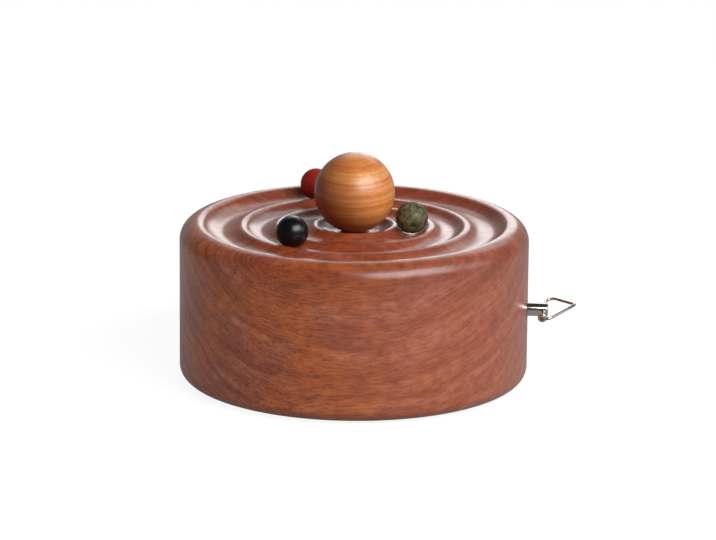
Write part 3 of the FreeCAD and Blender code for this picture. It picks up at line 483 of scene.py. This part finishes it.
# %% Bend the bail
bail = wire_end("wire_bail", 20, (0, -corner_y, 0), turn=(deg(90), 0, 0))
run(2 * corner_y, deg(90))
bend(corner_bend, (corner_x, corner_y, 0), corner_steps)
run(side_run, side_normal - deg(90))
bend(tip_bend, (tip_x, 0, 0), tip_steps)
run(side_run, -side_normal - deg(90))
bend(corner_bend, (corner_x, -corner_y, 0), corner_steps)
hang_on_pivot(bail)
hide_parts("key_bail")
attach(bail, "bail")

# %% [markdown]
# ### The curl that closes the loop
#
# The wire's two ends meet at the near end of the pivot, where one is curled once round the other. From
# the front this curl is a small round eye. It is the wire's section spun once round the pivot's line.

# %% Curl the wire's end
curl_radius = mm(1.15)
curl_from_middle = mm(10.2)
curl = wire_end("bail_curl", 16, (curl_radius, -curl_from_middle, 0))
bpy.ops.mesh.spin(steps=40, angle=full_turn, center=(0, 0, 0), axis=(0, 1, 0))
hang_on_pivot(curl)
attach(curl, "bail")
print("the eye is", round(2000 * (curl_radius + wire_radius), 1), "mm across")

# %% [markdown]
# ## The felt disc
#
# The box stands on a disc of felt, which keeps it from scratching a table. Felt has no weave and no hem:
# it is a flat pad with a slightly soft, uneven edge. A cylinder gets bevelled edges, its two faces are
# divided by insets, ring after ring, and a fine displacement makes the edge and the faces a little uneven.

# %% Cut the felt
felt_low, felt_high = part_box("felt_pad")
felt_radius = (felt_high.x - felt_low.x) / 2
nap = mm(0.08)
felt_rings = 14
felt = rod("felt_disc", felt_radius - nap, (0, 0, felt_low.z), (0, 0, felt_high.z), around=96)
bevel_ends(felt, 2)
for ring in range(felt_rings):
    # Only the two round faces have more than four corners.
    select_faces(felt, lambda face: len(face.verts) > 4)
    bpy.ops.mesh.inset(thickness=felt_radius / (felt_rings + 1))
bpy.ops.object.mode_set(mode="OBJECT")
unevenness = bpy.data.textures.new("felt_unevenness", "CLOUDS")
unevenness.noise_scale = mm(2)
ruffle = felt.modifiers.new("ruffle", "DISPLACE")
ruffle.texture = unevenness
ruffle.strength = nap
ruffle.mid_level = 1.0
bpy.ops.object.modifier_apply(modifier=ruffle.name)
bpy.ops.object.shade_smooth_by_angle(angle=deg(40))
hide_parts("felt_pad")
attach(felt, "case")

# %% [markdown]
# ## Finishes
#
# Each finish is a small tree of shader nodes. It reads Object coordinates, so that a pattern is cut out of
# solid wood or metal and stays on its piece when that moves. Small helpers keep the trees short. The first
# adds a node with its values and links. The next start a finish, feed its shader and give it a relief. The
# rest each stand for one kind of node that most finishes use: a mix, a ramp, a noise or a mapping.

# %% Helpers for the finishes
def add(finish, kind, *sockets, **settings):
    """Adds a node. Each socket is (input, value or the output that feeds it)."""
    step = finish.node_tree.nodes.new("ShaderNode" + kind)
    for name, setting in settings.items():
        setattr(step, name, setting)
    for name, source in sockets:
        if isinstance(source, bpy.types.NodeSocket):
            finish.node_tree.links.new(source, step.inputs[name])
        else:
            step.inputs[name].default_value = source
    return step


finishes = {}


def new_finish(name, **values):
    """A finish with its Principled shader's fixed values set. It is kept by name in finishes."""
    finish = bpy.data.materials.new(name)
    finish.use_nodes = True
    shader = finish.node_tree.nodes["Principled BSDF"]
    for socket, value in values.items():
        shader.inputs[socket.replace("_", " ")].default_value = value
    finishes[name] = finish
    return finish


def feed(finish, socket, source):
    """Feeds a value that varies over the piece into the finish's shader."""
    finish.node_tree.links.new(source, finish.node_tree.nodes["Principled BSDF"].inputs[socket])


def relief(finish, height, strength, distance, invert=False):
    """Raises the surface a little where the value is high, or sinks it there."""
    bump = add(finish, "Bump", ("Strength", strength), ("Distance", distance), ("Height", height),
               invert=invert)
    feed(finish, "Normal", bump.outputs[0])


def dress(piece, finish):
    """Gives the piece this finish only."""
    piece.data.materials.clear()
    piece.data.materials.append(finish)


# %% Helpers for colours and patterns
def colour(red, green, blue):
    """A colour as it looks on a screen, 0 to 255, as the linear values that a shader wants."""
    def linear(level):
        level = level / 255
        return level / 12.92 if level < 0.04045 else ((level + 0.055) / 1.055) ** 2.4
    return (linear(red), linear(green), linear(blue), 1)


def blend_colours(finish, factor, one, two, way="MIX"):
    """Mixes two colours by a factor, each a fixed value or an output."""
    return add(finish, "MixRGB", ("Fac", factor), ("Color1", one), ("Color2", two),
               blend_type=way).outputs[0]


def multiply(finish, one, two):
    """Multiplies two values, each a fixed one or an output."""
    return add(finish, "Math", (0, one), (1, two), operation="MULTIPLY").outputs[0]


def ramp(finish, source, low, high, to_low=0.0, to_high=1.0):
    """Stretches a value from one range to another, and stops at its ends."""
    return add(finish, "MapRange", ("Value", source), ("From Min", low), ("From Max", high),
               ("To Min", to_low), ("To Max", to_high)).outputs[0]


def noise(finish, place, scale, detail=3.0, rough=0.5, warp=0.0):
    """A cloudy value round 0.5 whose spots are about 1/scale across."""
    return add(finish, "TexNoise", ("Vector", place), ("Scale", scale), ("Detail", detail),
               ("Roughness", rough), ("Distortion", warp)).outputs[0]


def stretched(finish, place, scale, turn=(0, 0, 0), centre=(0, 0, 0)):
    """Coordinates that are moved, turned and scaled."""
    return add(finish, "Mapping", ("Vector", place), ("Location", centre), ("Rotation", turn),
               ("Scale", scale)).outputs[0]


def object_place(finish):
    """Where a point of the piece is, in metres, whatever the piece's body does."""
    return add(finish, "TexCoord").outputs["Object"]


# %% [markdown]
# ### The case's wood
#
# The case is a reddish hardwood with interlocked grain. Its board is cut on the slant, so on the round
# side the growth layers show as bowed streaks that are level in front and climb towards both sides. The
# layers are found as the distance from the tree's heart, which is a line along X, tilted and far above the
# disc, so that they climb more steeply near the top. A noise that changes only with that distance makes
# the bands. Two noises of the same distance, drawn out along the fibres, make the streaks and the fine
# grain, and a third gives the pores, which are dark and a little sunken. Clouds of orange and a brown
# mottle lie over it, as in real wood that has been oiled. The side that faces away from the key shows the
# layers most clearly, and towards the key the wood is plainer, so the strengths depend on X. The top inside
# the rim and the upper part of the round shoulder are painted darker: that is painted shade, not a colour
# of the wood. Over the wood lies a clear satin coat.

# %% Growth layers
def growth_layers(finish, place, tilt, heart, wander):
    """Distance from the tree's heart, in metres, wandering a little as real layers do."""
    turned = stretched(finish, place, (1, 1, 1), turn=(-tilt, 0, 0))
    split = add(finish, "SeparateXYZ", ("Vector", turned))
    lifted = add(finish, "Math", (0, split.outputs["Z"]), (1, heart), operation="ADD").outputs[0]
    across = add(finish, "CombineXYZ", ("Y", split.outputs["Y"]), ("Z", lifted)).outputs[0]
    depth = add(finish, "VectorMath", (0, across), operation="LENGTH").outputs["Value"]
    drift = noise(finish, stretched(finish, place, (0.35, 1, 1)), 26, detail=2)
    return add(finish, "Math", (0, drift), (1, wander), (2, depth), operation="MULTIPLY_ADD").outputs[0]


def bands(finish, depth, density, detail=3.0, rough=0.6):
    """A noise that changes only across the growth layers."""
    return add(finish, "TexNoise", ("W", depth), ("Scale", density), ("Detail", detail),
               ("Roughness", rough), noise_dimensions="1D").outputs[0]


# %% Case wood, where its patterns lie
layer_tilt = deg(40)
layer_swing = deg(-6)
case_wood = new_finish("case_wood", Roughness=0.45, Specular_IOR_Level=0.2, Coat_Weight=0.9,
                       Coat_Roughness=0.26, Coat_IOR=1.5)
place = stretched(case_wood, object_place(case_wood), (1, 1, 1), turn=(0, 0, layer_swing))
depth = growth_layers(case_wood, place, layer_tilt, heart=mm(-165), wander=mm(14))
wide_bands = ramp(case_wood, bands(case_wood, depth, 135, detail=4), 0.36, 0.66)
split = add(case_wood, "SeparateXYZ", ("Vector", place))
sideways, upward = split.outputs["X"], split.outputs["Z"]
band_strength = ramp(case_wood, sideways, mm(-50), mm(25), 0.66, 0.36)
pore_strength = ramp(case_wood, sideways, mm(-30), mm(30), 0.52, 0.14)
grain_strength = ramp(case_wood, sideways, mm(-20), mm(30), 0.42, 0.34)
warm_strength = ramp(case_wood, sideways, mm(-10), mm(45), 0.8, 0.1)
drawn_out = 0.15
along = multiply(case_wood, sideways, drawn_out)
layer_place = add(case_wood, "CombineXYZ", ("X", along), ("Y", depth)).outputs[0]
streaks = noise(case_wood, layer_place, 380, detail=3, rough=0.6, warp=0.2)
fine_grain = noise(case_wood, layer_place, 1500, detail=3, rough=0.6, warp=0.3)
mottle = noise(case_wood, stretched(case_wood, place, (0.45, 1, 1), turn=(-layer_tilt, 0, 0)), 330,
               detail=4, rough=0.62)
pores = noise(case_wood, stretched(case_wood, place, (0.16, 0.9, 1), turn=(-layer_tilt, 0, 0)), 1700,
              detail=1)
clouds = noise(case_wood, stretched(case_wood, place, (1, 1, 1), centre=(mm(33), 0, 0)), 36, detail=3)

# %% Case wood, its colours laid over each other
no_band = (0.6, 0.6, 0.6, 1)
band_factor = blend_colours(case_wood, band_strength, no_band, wide_bands)
body_colour = blend_colours(case_wood, band_factor, colour(146, 68, 42), colour(194, 121, 96))
warm_factor = multiply(case_wood, ramp(case_wood, clouds, 0.41, 0.58), warm_strength)
warm_colour = blend_colours(case_wood, warm_factor, body_colour, colour(190, 102, 46))
streak_factor = multiply(case_wood, ramp(case_wood, streaks, 0.46, 0.62, 0.0, 0.72), band_strength)
streaked_colour = blend_colours(case_wood, streak_factor, warm_colour, colour(110, 44, 20))
mottled_colour = blend_colours(case_wood, ramp(case_wood, mottle, 0.42, 0.62, 0.0, 0.4), streaked_colour,
                               colour(128, 58, 38))
grain_factor = multiply(case_wood, ramp(case_wood, fine_grain, 0.42, 0.64), grain_strength)
grain_colour = blend_colours(case_wood, grain_factor, mottled_colour, colour(102, 42, 28))
pore_marks = multiply(case_wood, ramp(case_wood, pores, 0.56, 0.68), pore_strength)
pored_colour = blend_colours(case_wood, pore_marks, grain_colour, colour(74, 28, 16))

# %% Case wood, painted shade on the top and the shoulder
# Painted shade: the top inside the rim is multiplied by a darker tint.
top_shade_tint = (0.76, 0.58, 0.52, 1)
shoulder_shade_tint = (0.74, 0.64, 0.64, 1)
from_axis = add(case_wood, "VectorMath", (0, place), (1, (1, 1, 0)), operation="MULTIPLY").outputs[0]
orbit = add(case_wood, "VectorMath", (0, from_axis), operation="LENGTH").outputs["Value"]
top_shade_mask = ramp(case_wood, orbit, case_radius - mm(8), case_radius - mm(5), 1.0, 0.0)
top_shaded_colour = blend_colours(case_wood, top_shade_mask, pored_colour, top_shade_tint, way="MULTIPLY")
# Painted shade: the upper part of the round shoulder is made darker, less so on the far left.
by_side = ramp(case_wood, sideways, mm(-55), mm(-25), 0.1, 1.0)
by_height = ramp(case_wood, upward, case_top - mm(19), case_top - mm(4), 0.0, by_side)
shoulder_shade_mask = ramp(case_wood, orbit, case_radius - top_round, case_radius - mm(1.5), 0.0, by_height)
case_colour = blend_colours(case_wood, shoulder_shade_mask, top_shaded_colour, shoulder_shade_tint, way="MULTIPLY")
feed(case_wood, "Base Color", case_colour)
relief(case_wood, pore_marks, 0.12, mm(0.08), invert=True)
dress(case, case_wood)

# %% [markdown]
# ### The sun's wood
#
# The sun is a lighter, honey-coloured fruit wood. Its growth layers lie almost level, so thin darker
# lines run round it like the bands of a planet, with fine grain along them. It is painted darker low down
# on the side that faces away from the key, which is painted shade.

# %% Sun wood
sun_wood = new_finish("sun_wood", Roughness=0.45, Specular_IOR_Level=0.5, Coat_Weight=0.7,
                      Coat_Roughness=0.3)
place = object_place(sun_wood)
depth = growth_layers(sun_wood, place, deg(4), heart=mm(60), wander=mm(3))
sun_bands = bands(sun_wood, depth, 300, detail=3)
sun_lines = ramp(sun_wood, bands(sun_wood, depth, 1150, detail=2), 0.54, 0.70, 0, 0.32)
sun_grain = noise(sun_wood, stretched(sun_wood, place, (0.05, 0.5, 1)), 2600, detail=2)
sun_body = blend_colours(sun_wood, ramp(sun_wood, sun_bands, 0.35, 0.65), colour(206, 119, 51),
                         colour(229, 155, 84))
sun_lined = blend_colours(sun_wood, sun_lines, sun_body, colour(150, 78, 32))
sun_grained = blend_colours(sun_wood, ramp(sun_wood, sun_grain, 0.42, 0.62, 0, 0.35), sun_lined,
                            colour(156, 86, 38))
# Painted shade: the colour goes towards a deep brown low down on the left, and stays light towards the right
# and the top.
lit_side = Vector((0.88, 0, 0.47))
towards_lit_side = add(sun_wood, "VectorMath", (0, place), (1, lit_side), operation="DOT_PRODUCT")
lit_side_reach = add(sun_wood, "Math", (0, towards_lit_side.outputs["Value"]), (1, lit_side.z * sun_middle),
                operation="SUBTRACT").outputs[0]
sun_painted_shade = ramp(sun_wood, lit_side_reach, mm(-10), mm(7), 0.95, 0.0)
sun_colour = blend_colours(sun_wood, sun_painted_shade, sun_grained, colour(106, 38, 6))
feed(sun_wood, "Base Color", sun_colour)
dress(sun, sun_wood)

# %% [markdown]
# ### The planets' stains
#
# The planets are small wooden balls stained red, green and black. The red is matt and deep, the green is
# patchy where the stain has soaked into end grain, and the black is lacquered and shows soft lights.

# %% Planet stains
def stained(name, dark, light, spots, roughness, coat):
    """A stain over fine wood grain: dark where it soaked in, light where it didn't."""
    finish = new_finish(name, Roughness=roughness, IOR=1.38, Coat_Weight=coat, Coat_Roughness=0.2)
    place = object_place(finish)
    patches = ramp(finish, noise(finish, place, spots, detail=4, rough=0.65), 0.38, 0.62)
    grain = noise(finish, stretched(finish, place, (0.15, 1, 1)), 2200, detail=2)
    soaked = blend_colours(finish, patches, dark, light)
    shade = blend_colours(finish, ramp(finish, grain, 0.42, 0.66, 0, 0.4), soaked, dark)
    feed(finish, "Base Color", shade)
    relief(finish, grain, 0.15, mm(0.05))


stained("red_wood", colour(116, 14, 5), colour(150, 28, 10), spots=260, roughness=0.6, coat=0.0)
stained("green_wood", colour(38, 43, 27), colour(118, 108, 72), spots=480, roughness=0.5, coat=0.05)
stained("black_wood", colour(4, 4, 11), colour(9, 9, 19), spots=300, roughness=0.32, coat=0.35)
for wood, planet in planet_of_wood.items():
    dress(planet, finishes[wood])

# %% [markdown]
# ### Metals
#
# The key is polished nickel, and inside are machined brass, die cast zinc, bright steel and nickel plated
# magnets. What tells metals apart is their colour and how rough they are, so one helper makes them all: a
# fine noise stretched along the machining varies the roughness, and a slow one tints the colour a little.

# %% Metals
def metal(name, shade, tint, roughness, marks=(1, 1, 1), scratch=1800, height=mm(0.03)):
    """A metal. Its machining marks are 1/scratch across, drawn out where marks is low, and height high."""
    finish = new_finish(name, Metallic=1.0)
    place = object_place(finish)
    slow = noise(finish, place, 120, detail=2)
    fine = noise(finish, stretched(finish, place, marks), scratch, detail=3, rough=0.6)
    feed(finish, "Base Color", blend_colours(finish, ramp(finish, slow, 0.35, 0.65), shade, tint))
    feed(finish, "Roughness", ramp(finish, fine, 0.3, 0.7, roughness * 0.8, roughness * 1.25))
    relief(finish, fine, 0.2, height)


metal("nickel", colour(206, 203, 198), colour(190, 186, 180), 0.13, (0.2, 1, 1), height=mm(0.005))
metal("magnet", colour(198, 198, 198), colour(182, 182, 184), 0.18, height=mm(0.005))
metal("brass", colour(206, 170, 92), colour(190, 150, 76), 0.28, (1, 1, 0.1))
metal("zinc", colour(158, 158, 156), colour(142, 142, 141), 0.42, scratch=900, height=mm(0.06))
metal("steel", colour(178, 178, 180), colour(160, 160, 164), 0.25, (0.15, 1, 1))
for piece in (stem, bail, curl):
    dress(piece, finishes["nickel"])

# %% [markdown]
# ### Bare wood, felt and plastic
#
# The base plate, the blocks and the board inside are pale bare wood: straight grain, matt, with soft
# brown lines. The felt is a mat of fibres, so it has no shine at all, only a tangled fine bump and a
# sheen at grazing angles. The magnet carrier is moulded black plastic with a fine spark texture.

# %% Bare wood
plain_wood = new_finish("plain_wood", Roughness=0.7)
place = object_place(plain_wood)
depth = growth_layers(plain_wood, place, deg(12), heart=mm(90), wander=mm(8))
plain_bands = ramp(plain_wood, bands(plain_wood, depth, 260), 0.38, 0.64)
plain_grain = noise(plain_wood, stretched(plain_wood, place, (0.05, 1, 1)), 1900, detail=2)
plain_body = blend_colours(plain_wood, plain_bands, colour(186, 150, 106), colour(214, 182, 138))
plain_colour = blend_colours(plain_wood, ramp(plain_wood, plain_grain, 0.42, 0.66, 0, 0.45), plain_body,
                             colour(160, 120, 78))
feed(plain_wood, "Base Color", plain_colour)
relief(plain_wood, plain_grain, 0.3, mm(0.08))

# %% Felt
felt_cloth = new_finish("felt", Roughness=0.95, Sheen_Weight=0.35, Sheen_Roughness=0.5)
place = object_place(felt_cloth)
fluff = noise(felt_cloth, place, 1400, detail=4, rough=0.7, warp=1.5)
tufts = noise(felt_cloth, place, 260, detail=3)
felt_tone = blend_colours(felt_cloth, ramp(felt_cloth, fluff, 0.35, 0.65), colour(38, 34, 32),
                          colour(74, 68, 64))
felt_colour = blend_colours(felt_cloth, ramp(felt_cloth, tufts, 0.4, 0.6, 0, 0.4), felt_tone,
                            colour(30, 27, 26))
feed(felt_cloth, "Base Color", felt_colour)
relief(felt_cloth, fluff, 0.8, mm(0.3))
dress(felt, felt_cloth)

# %% Plastic
plastic = new_finish("carrier_plastic", Roughness=0.5)
spark = noise(plastic, object_place(plastic), 3200, detail=2)
plastic_colour = blend_colours(plastic, ramp(plastic, spark, 0.35, 0.65), colour(28, 28, 30),
                               colour(40, 40, 43))
feed(plastic, "Base Color", plastic_colour)
relief(plastic, spark, 0.3, mm(0.04))

# %% [markdown]
# ### Dress the pieces inside
#
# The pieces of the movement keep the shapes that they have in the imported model. Each of them names a
# material slot in the record, and each finish was kept under its slot's name, so one loop dresses them.

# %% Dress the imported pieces
for subpart in frame["record"]["subparts"]:
    dress(frame["nodes"][subpart["node"]], finishes[subpart["material_slot"]])

# %% [markdown]
# ## Floor, lamps and surroundings
#
# The box stands on a white sweep. Five soft lamps light it. A large one in front at the right gives the
# band of light under the rim and the broad shine on the sun. A small one at the far right gives the second
# light on the black ball. A low one and a wide high one behind lay the pale lights into the grooves. A
# weak warm one at the left lifts the shaded side, and reflections don't see it, so that it draws no second
# band. The even light of the surroundings fills the shadows, and it is weaker from above.
#
# What the camera sees as the background is white. Reflections see a grey wall that is lightest straight
# behind the box, and a darker floor, so that the wood stays deep red in front, the grooves shine at the
# sides and the nickel has dark parts next to its lights. Paper lit from behind looks like that: the floor
# glows a little of its own for the camera, and still shows a faint shadow.

# %% Floor
floor_radius = 0.6
floor_glow = 0.9
share_in_reflections = 0.15


def seen_by_camera(owner):
    """The rays' node, and a value that is 1 for rays from the camera, also through glass."""
    ray = add(owner, "LightPath")
    seen = add(owner, "Math", (0, ray.outputs["Is Camera Ray"]), (1, ray.outputs["Is Transmission Ray"]),
               operation="MAXIMUM").outputs[0]
    return ray, seen


bpy.ops.object.select_all(action="DESELECT")
bpy.ops.mesh.primitive_circle_add(vertices=96, radius=floor_radius, fill_type="NGON", location=(0, 0, 0))
floor = bpy.context.active_object
floor.name = "floor"
sweep = new_finish("white_sweep", Roughness=0.9, Specular_IOR_Level=0.1, Emission_Color=(1, 1, 1, 1))
ray, seen = seen_by_camera(sweep)
mirrored = multiply(sweep, ray.outputs["Is Glossy Ray"], share_in_reflections)
seen = add(sweep, "Math", (0, seen), (1, mirrored), operation="MAXIMUM").outputs[0]
feed(sweep, "Base Color", blend_colours(sweep, seen, colour(140, 140, 140), colour(120, 120, 120)))
feed(sweep, "Emission Strength", multiply(sweep, seen, floor_glow))
dress(floor, sweep)

# %% World
world = bpy.data.worlds.new("studio")
world.use_nodes = True
scene.world = world
ray, seen = seen_by_camera(world)
direction = add(world, "TexCoord").outputs["Generated"]
split = add(world, "SeparateXYZ", ("Vector", direction))
height, behind = split.outputs["Z"], split.outputs["Y"]
wall_low, wall_high = 0.3, 0.18
side_wall_share = 0.3
ambient_low, ambient_high = 0.36, 0.1
low_light = ramp(world, height, 0.22, 0.46, wall_low, wall_high)
wall_light = multiply(world, low_light, ramp(world, behind, 0.5, 0.85, side_wall_share, 1.0))
ambient = ramp(world, height, 0.0, 0.8, ambient_low, ambient_high)
mirrored = add(world, "Mix", (0, ray.outputs["Is Glossy Ray"]), (2, ambient), (3, wall_light),
               data_type="FLOAT").outputs[0]
strength = add(world, "Mix", (0, seen), (2, mirrored), (3, 1.0), data_type="FLOAT").outputs[0]
sky = world.node_tree.nodes["Background"]
sky.inputs["Color"].default_value = (1, 1, 1, 1)
world.node_tree.links.new(strength, sky.inputs["Strength"])

# %% Lamps
def soft_lamp(name, azimuth, elevation, distance, size, watts):
    """A rectangular lamp that is aimed at the box. Its size is its width and height."""
    lamp = bpy.data.lights.new(name, "AREA")
    lamp.shape = "RECTANGLE"
    lamp.size, lamp.size_y = size
    lamp.energy = watts
    holder = bpy.data.objects.new(name, lamp)
    set_round_box(holder, azimuth, elevation, distance)
    return holder


soft_lamp("key_lamp", deg(46), deg(37), distance=1.4, size=(1.3, 0.8), watts=23)
soft_lamp("side_lamp", deg(92), deg(20), distance=1.4, size=(0.4, 0.6), watts=1.5)
soft_lamp("back_lamp", deg(181), deg(14), distance=1.5, size=(0.45, 0.28), watts=1.5)
soft_lamp("top_lamp", deg(176), deg(36), distance=1.4, size=(1.1, 0.3), watts=2.1)
fill_lamp = soft_lamp("fill_lamp", deg(-60), deg(10), distance=1.4, size=(0.9, 0.7), watts=3.8)
fill_lamp.data.color = (1, 0.84, 0.66)
fill_lamp.visible_glossy = False

# %% [markdown]
# ## Close
#
# The view transform is Standard, so that a colour comes out as it was written.

# %% Set the view transform
scene.view_settings.view_transform = "Standard"
